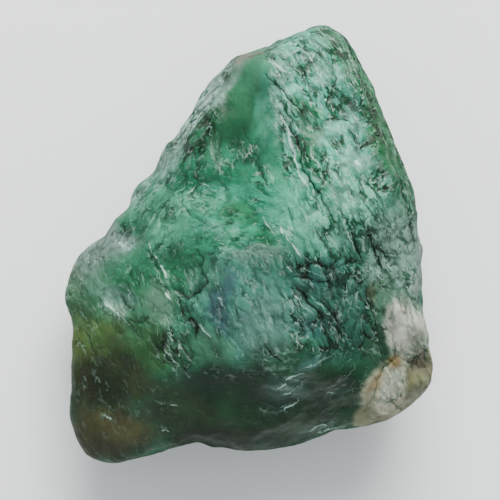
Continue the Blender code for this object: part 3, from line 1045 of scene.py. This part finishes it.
    def paint_zones(self, skin: Skin, runs: np.ndarray) -> None:
        """Paints the colour zones, the quartz and its rust. Most zones are the mineral's own colour;
        some also carry painted sheen, painted reflection and painted shade.

        Args:
            skin: The chunk's surface.
            runs: Rows with the shares of the three runs, which draw the zones' edges out.
        """
        wander = noises_at(skin.places, pitch=0.16, octaves=4, shifts=(9.0, 77.0))
        streak = self.along_runs(skin, runs, pitch=0.5, octaves=2, shift=57.0)[:, np.newaxis]
        flat = skin.flat + self.zone_wander * wander + self.zone_streak * streak
        near = skin.flat + self.quartz_wander * (wander + streak)
        colours = np.tile(linear(BASE_COLOUR), (len(flat), 1))
        for zone in TINTS.values():
            colours = tinted(colours, within(zone, flat, self.zone_feather), zone.colour)
        quartz = np.zeros(len(flat))
        for zone in QUARTZ_PATCHES.values():
            share = within(zone, near, self.quartz_feather)
            quartz = np.maximum(quartz, share)
            colours = tinted(colours, share, zone.colour)
        for zone in QUARTZ_TINTS.values():
            colours = tinted(colours, quartz * within(zone, near, self.zone_feather), zone.colour)
        for zone in RUSTS.values():
            colours = tinted(colours, within(zone, near, self.rust_feather), zone.colour)
        skin.paint(Mark.TINT, self.light_share * colours**self.light_path)
        skin.paint(Mark.QUARTZ, quartz)


@dataclass(frozen=True)
class FluoriteFinish:
    """Broken fluorite, still damp from washing: milky green inside, glossy on its faces, whitened along
    its crests, partly as frosting and partly as painted highlight, and darkened in its creases with
    painted shade. Fluorite bends light little, so its gloss is soft. Lengths are millimetres."""

    ior: float = 1.434
    specular_level: float = 0.26
    face_roughness: float = 0.19
    groove_roughness: float = 0.40
    quartz_dullness: float = 0.12
    glow_weight: float = 0.20
    glow_radius: tuple = (0.35, 1.0, 0.75)
    glow_scale: float = 0.6
    # The whitening of frosting and painted highlight.
    frost_and_highlight_colour: str = "#A4D2C2"
    frost_and_highlight_size: float = 0.8
    frost_and_highlight_gain: float = 0.28
    most_frost_and_highlight: float = 0.24
    # Painted shade in cracks and creases.
    crease_shade_colour: str = "#3E7658"
    # Painted highlight on the crests and the hooks.
    painted_highlight_colour: str = "#B2D6C8"
    thinnest_crack: float = 0.55
    thinnest_crest: float = 0.05
    widest_line: float = 1.7
    line_firmness: float = 1.7
    web_size: float = 1.7
    web_depth: float = 0.12
    facet_size: float = 0.75
    facet_tilt: float = 1.0
    facet_shade: float = 0.3
    hook_size: float = 1.5
    hook_levels: float = 3.0
    hook_gain: float = 1.3
    hook_brightness: float = 0.26
    bend_size: float = 2.2
    bend_reach: float = 1.0
    cloud_size: float = 4.5
    cloud_shades: tuple = (0.72, 1.3)


class FluoriteMaterial:
    """Puts the fluorite's material together. Each step changes tint, the colour so far.

    It reads the maps on the mesh. Its fine patterns lie in coordinates that are bent, and drawn
    out along the runs of the ripples.
    """

    def __init__(self, finish: FluoriteFinish) -> None:
        """Starts the material, with the maps and the patterns that several steps share.

        Args:
            finish: How the fluorite looks.
        """
        self.finish = finish
        self.made = bpy.data.materials.new("broken_green_fluorite")
        self.made.use_nodes = True
        self.tree = self.made.node_tree
        marks = {mark: self.add("Attribute", {"attribute_name": mark.value}) for mark in Mark}
        self.tint = marks[Mark.TINT]["Color"]
        self.share = {mark: outputs["Fac"] for mark, outputs in marks.items()}
        self.rows = {mark: outputs["Vector"] for mark, outputs in marks.items()}
        self.place = self.add("TexCoord")["Object"]
        self.drawn = self.drawn_out(self.bent())
        self.web = self.creases()
        self.facets = self.add("TexVoronoi", {"Scale": per_metre(finish.facet_size)}, {0: self.drawn})
        self.chance = self.add("SeparateColor", {}, {0: self.facets["Color"]})
        settings = {"Scale": per_metre(finish.hook_size), "Detail": 2.0, "Roughness": 0.6}
        self.curls = self.add("TexNoise", settings, {0: self.drawn})[0]

    def add(self, kind: str, settings: dict | None = None, links: dict | None = None) -> Outputs:
        """Adds a node. What isn't set keeps Blender's own value.

        Args:
            kind: The node's type, such as "Mix" for ShaderNodeMix.
            settings: Values for its properties and its inputs. An input goes by its name, or by
                its number where several share a name.
            links: For each input, by name or number, the output that feeds it.

        Returns:
            The new node's outputs.
        """
        node = self.tree.nodes.new("ShaderNode" + kind)
        for key, value in (settings or {}).items():
            if isinstance(key, int) or key in node.inputs:
                node.inputs[key].default_value = value
            else:
                setattr(node, key, value)
        for key, output in (links or {}).items():
            self.tree.links.new(output, node.inputs[key])
        return node.outputs

    def build(self) -> bpy.types.Material:
        """Works through the steps, and sets the shader.

        Returns:
            The finished material.
        """
        for step in (self.cloud, self.mottle, self.groove, self.frost_and_highlight, self.hook, self.draw_lines):
            step()
        shader = self.tree.nodes["Principled BSDF"]
        self.tree.links.new(self.tint, shader.inputs["Base Color"])
        self.tree.links.new(self.gloss(), shader.inputs["Roughness"])
        self.tree.links.new(self.fine_relief(), shader.inputs["Normal"])
        shader.inputs["IOR"].default_value = self.finish.ior
        shader.inputs["Specular IOR Level"].default_value = self.finish.specular_level
        shader.inputs["Subsurface Weight"].default_value = self.finish.glow_weight
        shader.inputs["Subsurface Radius"].default_value = self.finish.glow_radius
        shader.inputs["Subsurface Scale"].default_value = self.finish.glow_scale * MM
        return self.made

    def bent(self) -> Socket:
        """Bends the object's coordinates, so that the web forks and wanders.

        Returns:
            The bent coordinates.
        """
        settings = {"Scale": per_metre(self.finish.bend_size), "Detail": 3.0, "Roughness": 0.6}
        bends = self.add("TexNoise", settings, {0: self.place})[1]
        settings = {"operation": "MULTIPLY_ADD", 1: (self.finish.bend_reach * MM,) * 3}
        return self.add("VectorMath", settings, {0: bends, 2: self.place})[0]

    def drawn_out(self, bent: Socket) -> Socket:
        """Draws the coordinates out along the run that is strongest at each point.

        Args:
            bent: The bent coordinates.

        Returns:
            The drawn out coordinates.
        """
        shares = self.add("SeparateXYZ", {}, {0: self.rows[Mark.RUNS]})
        drawn = None
        strongest = None
        for share, run in zip(shares, Run):
            lean_deg, stretch = run.value
            turn = (0.0, 0.0, math.radians(lean_deg))
            settings = {"vector_type": "TEXTURE", "Rotation": turn, "Scale": (stretch, 1.0, 1.0)}
            one = self.add("Mapping", settings, {0: bent})[0]
            if drawn is None:
                drawn = one
                strongest = share
                continue
            wins = self.add("Math", {"operation": "GREATER_THAN"}, {0: share, 1: strongest})[0]
            drawn = self.add("Mix", {"data_type": "VECTOR"}, {0: wins, 4: drawn, 5: one})[1]
            strongest = self.add("Math", {"operation": "MAXIMUM"}, {0: share, 1: strongest})[0]
        return drawn

    def creases(self) -> Socket:
        """Makes a web of creases that fork.

        Returns:
            About 0.3 between creases and 1.8 in them.
        """
        settings = {
            "noise_type": "RIDGED_MULTIFRACTAL",
            "Scale": per_metre(self.finish.web_size),
            "Detail": 3.0,
            "Roughness": 0.6,
            "Lacunarity": 2.2,
            "Offset": 1.0,
            "Gain": 1.6,
        }
        return self.add("TexNoise", settings, {0: self.drawn})[0]

    def shade(self, brightness: Socket) -> None:
        """Makes the colour so far lighter or darker."""
        links = {"Value": brightness, "Color": self.tint}
        self.tint = self.add("HueSaturation", {}, links)[0]

    def cover(self, share: Socket, colour: str) -> None:
        """Lays a colour over a share of the colour so far."""
        settings = {"data_type": "RGBA", 7: (*linear(colour), 1.0)}
        self.tint = self.add("Mix", settings, {0: share, 6: self.tint})[2]

    def with_painted_shade(self, tint: Socket, share: Socket | None = None) -> Socket:
        """Darkens a colour with painted shade, as deep as in a crack, all of it or a share.

        Args:
            tint: The colour.
            share: How much of it, or all of it where this is left out.

        Returns:
            The darkened colour.
        """
        settings = {"data_type": "RGBA", "blend_type": "MULTIPLY", 0: 1.0}
        settings = settings | {7: (*linear(self.finish.crease_shade_colour), 1.0)}
        links = {6: tint} if share is None else {0: share, 6: tint}
        return self.add("Mix", settings, links)[2]

    def cloud(self) -> None:
        """Lightens and darkens the zones in soft clouds inside the mineral."""
        darkest, lightest = self.finish.cloud_shades
        settings = {"Scale": per_metre(self.finish.cloud_size), "Detail": 4.0}
        clouds = self.add("TexNoise", settings, {0: self.place})[0]
        settings = {"From Min": 0.3, "From Max": 0.7, "To Min": darkest, "To Max": lightest}
        self.shade(self.add("MapRange", settings, {0: clouds})[0])

    def mottle(self) -> None:
        """Gives each small facet its own shade where the surface is broken."""
        settings = {"To Min": -self.finish.facet_shade, "To Max": self.finish.facet_shade}
        lift = self.add("MapRange", settings, {0: self.chance[1]})[0]
        settings = {"operation": "MULTIPLY_ADD", 2: 1.0}
        links = {0: lift, 1: self.share[Mark.WRINKLE]}
        self.shade(self.add("Math", settings, links)[0])

    def groove(self) -> None:
        """Paints shade: darkens the colour in the web's creases, and in cracks, hollows and steep sides.
        """
        creases = self.add("MapRange", {"From Min": 1.05, "From Max": 1.5}, {0: self.web})[0]
        settings = {"operation": "MULTIPLY_ADD", "use_clamp": True}
        links = {0: creases, 1: self.share[Mark.WRINKLE], 2: self.share[Mark.CUT]}
        self.tint = self.with_painted_shade(self.tint, self.add("Math", settings, links)[0])

    def frost_and_highlight(self) -> None:
        """Whitens ragged spots: partly the frosting of broken edges, partly painted highlight and sheen.
        """
        frost_and_highlight = self.share[Mark.FROST_AND_HIGHLIGHT]
        settings = {"Scale": per_metre(self.finish.frost_and_highlight_size), "Detail": 5.0, "Roughness": 0.7}
        ragged = self.add("TexNoise", settings, {0: self.drawn})[0]
        settings = {"operation": "MULTIPLY_ADD", 1: self.finish.frost_and_highlight_gain}
        above = self.add("Math", settings, {0: frost_and_highlight, 2: ragged})[0]
        settings = {"From Min": 0.56, "From Max": 0.76, "To Max": self.finish.most_frost_and_highlight}
        white = self.add("MapRange", settings, {0: above})[0]
        where = self.add("MapRange", {"From Max": 0.3}, {0: frost_and_highlight})[0]
        share = self.add("Math", {"operation": "MULTIPLY"}, {0: white, 1: where})[0]
        self.cover(share, self.finish.frost_and_highlight_colour)

    def hook(self) -> None:
        """Draws short hooks, each a painted highlight beside a line of painted shade, where the surface is
        broken.

        They follow the levels of the curls, and end where the next facet begins.
        """
        settings = {"operation": "MULTIPLY", 1: self.finish.hook_levels}
        levels = self.add("Math", settings, {0: self.curls})[0]
        steps = self.add("Math", {"operation": "FRACT"}, {0: levels})[0]
        some = self.add("MapRange", {"From Min": 0.3, "From Max": 0.9}, {0: self.chance[0]})[0]
        settings = {"operation": "MULTIPLY_ADD", "use_clamp": True, 1: self.finish.hook_gain}
        links = {0: self.share[Mark.SPARKLE], 2: self.share[Mark.WRINKLE]}
        where = self.add("Math", settings, links)[0]
        where = self.add("Math", {"operation": "MULTIPLY"}, {0: where, 1: some})[0]
        bands = []
        for middle, half in ((0.40, 0.11), (0.60, 0.09)):
            settings = {"operation": "COMPARE", 1: middle, 2: half}
            band = self.add("Math", settings, {0: steps})[0]
            bands.append(self.add("Math", {"operation": "MULTIPLY"}, {0: band, 1: where})[0])
        settings = {"operation": "MULTIPLY", 1: self.finish.hook_brightness}
        painted_glint = self.add("Math", settings, {0: bands[1]})[0]
        self.tint = self.with_painted_shade(self.tint, bands[0])
        self.cover(painted_glint, self.finish.painted_highlight_colour)

    def line(self, mark: Mark, pattern: Socket, reach: tuple, thinnest: float) -> Socket:
        """Turns the gap to a stroke into a thin line of uneven width.

        Args:
            mark: The map with the gap to the nearest stroke, its strength and its half width.
            pattern: A pattern that makes the line's width uneven.
            reach: The pattern's values where the line is thinnest and widest.
            thinnest: The share of its width that is left where it is thinnest.

        Returns:
            Shares from 0 to 1.
        """
        gap, strength, half_width = self.add("SeparateXYZ", {}, {0: self.rows[mark]})
        gap = self.add("Math", {"operation": "ABSOLUTE"}, {0: gap})[0]
        settings = {"From Min": reach[0], "From Max": reach[1]}
        settings = settings | {"To Min": thinnest, "To Max": self.finish.widest_line}
        uneven = self.add("MapRange", settings, {0: pattern})[0]
        width = self.add("Math", {"operation": "MULTIPLY"}, {0: half_width, 1: uneven})[0]
        links = {"Value": gap, "From Max": width, "To Min": strength}
        share = self.add("MapRange", {"To Max": 0.0}, links)[0]
        settings = {"operation": "MULTIPLY", "use_clamp": True, 1: self.finish.line_firmness}
        return self.add("Math", settings, {0: share})[0]

    def draw_lines(self) -> None:
        """Draws the cracks dark with painted shade, and the crests bright with painted highlight."""
        crack = self.line(Mark.CRACK, self.chance[2], (0.0, 1.0), self.finish.thinnest_crack)
        crest = self.line(Mark.CREST, self.curls, (0.46, 0.64), self.finish.thinnest_crest)
        painted_crack_shade = self.with_painted_shade(self.with_painted_shade(self.tint))
        self.cover(crest, self.finish.painted_highlight_colour)
        links = {0: crack, 6: self.tint, 7: painted_crack_shade}
        self.tint = self.add("Mix", {"data_type": "RGBA"}, links)[2]

    def gloss(self) -> Socket:
        """Makes faces glossier than creases, and cracks, sides and quartz duller.

        Returns:
            The roughness.
        """
        roughness = {"To Min": self.finish.face_roughness, "To Max": self.finish.groove_roughness}
        settings = {"From Min": 0.6, "From Max": 1.6} | roughness
        smooth = self.add("MapRange", settings, {0: self.web})[0]
        dull = self.add("Math", {"operation": "ADD"}, {0: self.share[Mark.DULL], 1: smooth})[0]
        settings = {"operation": "MULTIPLY_ADD", "use_clamp": True, 1: self.finish.quartz_dullness}
        return self.add("Math", settings, {0: self.share[Mark.QUARTZ], 2: dull})[0]

    def fine_relief(self) -> Socket:
        """Tilts the light with the creases and the small facets, which are too small for the mesh.

        Returns:
            The bumped normal.
        """
        wrinkle = self.share[Mark.WRINKLE]
        coarse = self.add("Math", {"operation": "MULTIPLY"}, {0: self.web, 1: wrinkle})[0]
        settings = {"invert": True, "Distance": self.finish.web_depth * MM}
        first = self.add("Bump", settings, {"Height": coarse})[0]
        settings = {"operation": "SUBTRACT", 1: (0.5, 0.5, 0.5)}
        way = self.add("VectorMath", settings, {0: self.facets["Color"]})[0]
        links = {0: self.drawn, 1: self.facets["Position"]}
        offset = self.add("VectorMath", {"operation": "SUBTRACT"}, links)[0]
        settings = {"operation": "DOT_PRODUCT"}
        lean = self.add("VectorMath", settings, {0: way, 1: offset})["Value"]
        height = self.add("Math", {"operation": "MULTIPLY"}, {0: lean, 1: wrinkle})[0]
        links = {"Height": height, "Normal": first}
        return self.add("Bump", {"Distance": self.finish.facet_tilt}, links)[0]


@dataclass
class Studio:
    """A pale floor, soft lights and the camera that looks straight down, as the photograph does."""

    floor_side: float = 4.0
    floor_colour: str = "#F2F3F2"
    floor_roughness: float = 0.8
    sky_colour: tuple = (0.9, 0.95, 1.0, 1.0)
    sky_strength: float = 0.75
    eye_height: float = 0.46
    rim_height: float = 0.0135
    lens_sensor: float = 36.0

    def build(self) -> None:
        """Makes the floor, the lights and the camera."""
        self.floor()
        self.light("window", place=(0.08, 0.53, 0.39), side=0.50, watts=12.5)
        self.light("fill", place=(-0.25, -0.60, 0.30), side=0.90, watts=1.2)
        self.surroundings()
        self.camera()

    def floor(self) -> None:
        """Makes the floor."""
        shape = bmesh.new()
        bmesh.ops.create_grid(shape, x_segments=1, y_segments=1, size=self.floor_side / 2)
        mesh = bpy.data.meshes.new("floor")
        shape.to_mesh(mesh)
        shape.free()
        material = bpy.data.materials.new("pale_matt_floor")
        material.use_nodes = True
        shader = material.node_tree.nodes["Principled BSDF"]
        shader.inputs["Base Color"].default_value = (*linear(self.floor_colour), 1.0)
        shader.inputs["Roughness"].default_value = self.floor_roughness
        mesh.materials.append(material)
        floor = bpy.data.objects.new("floor", mesh)
        bpy.context.scene.collection.objects.link(floor)
        floor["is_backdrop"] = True

    def light(self, name: str, place: tuple, side: float, watts: float) -> None:
        """Makes a soft square light aimed at the chunk.

        Args:
            name: The light's name.
            place: Where it is, in metres.
            side: Its side, in metres.
            watts: Its power.
        """
        lamp = bpy.data.lights.new(name, "AREA")
        lamp.shape = "SQUARE"
        lamp.size = side
        lamp.energy = watts
        holder = bpy.data.objects.new(name, lamp)
        holder.location = place
        holder.rotation_euler = (-Vector(place)).to_track_quat("-Z", "Y").to_euler()
        bpy.context.scene.collection.objects.link(holder)

    def surroundings(self) -> None:
        """Sets a dim even light from all round."""
        world = bpy.data.worlds.new("studio")
        world.use_nodes = True
        background = world.node_tree.nodes["Background"]
        background.inputs[0].default_value = self.sky_colour
        background.inputs[1].default_value = self.sky_strength
        bpy.context.scene.world = world

    def camera(self) -> None:
        """Makes the camera. Its frame is as wide at the chunk's rim as the photograph is there."""
        lens = bpy.data.cameras.new("camera")
        lens.sensor_width = self.lens_sensor
        lens.lens = self.lens_sensor * (self.eye_height - self.rim_height) / (PHOTO_SIDE * PIXEL * MM)
        camera = bpy.data.objects.new("camera", lens)
        middle = from_photo((PHOTO_SIDE / 2, PHOTO_SIDE / 2)) * MM
        camera.location = (middle[0], middle[1], self.eye_height)
        bpy.context.scene.collection.objects.link(camera)
        bpy.context.scene.camera = camera


def main() -> None:
    """Loads the frame, builds the chunk and the studio, and logs the chunk's triangle count."""
    logging.basicConfig(level=logging.INFO, format="%(name)s: %(message)s")
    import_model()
    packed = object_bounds()
    piece = Chunk().build(*packed)
    piece.data.materials.append(FluoriteMaterial(FluoriteFinish()).build())
    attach(piece, "root")
    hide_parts(CHUNK_NODE)
    triangles = sum(len(face.vertices) - 2 for face in piece.data.polygons)
    LOG.info("%s: %d triangles, replaces %s", piece.name, triangles, CHUNK_NODE)
    Studio().build()
    bpy.context.view_layer.update()


if __name__ == "__main__":
    main()
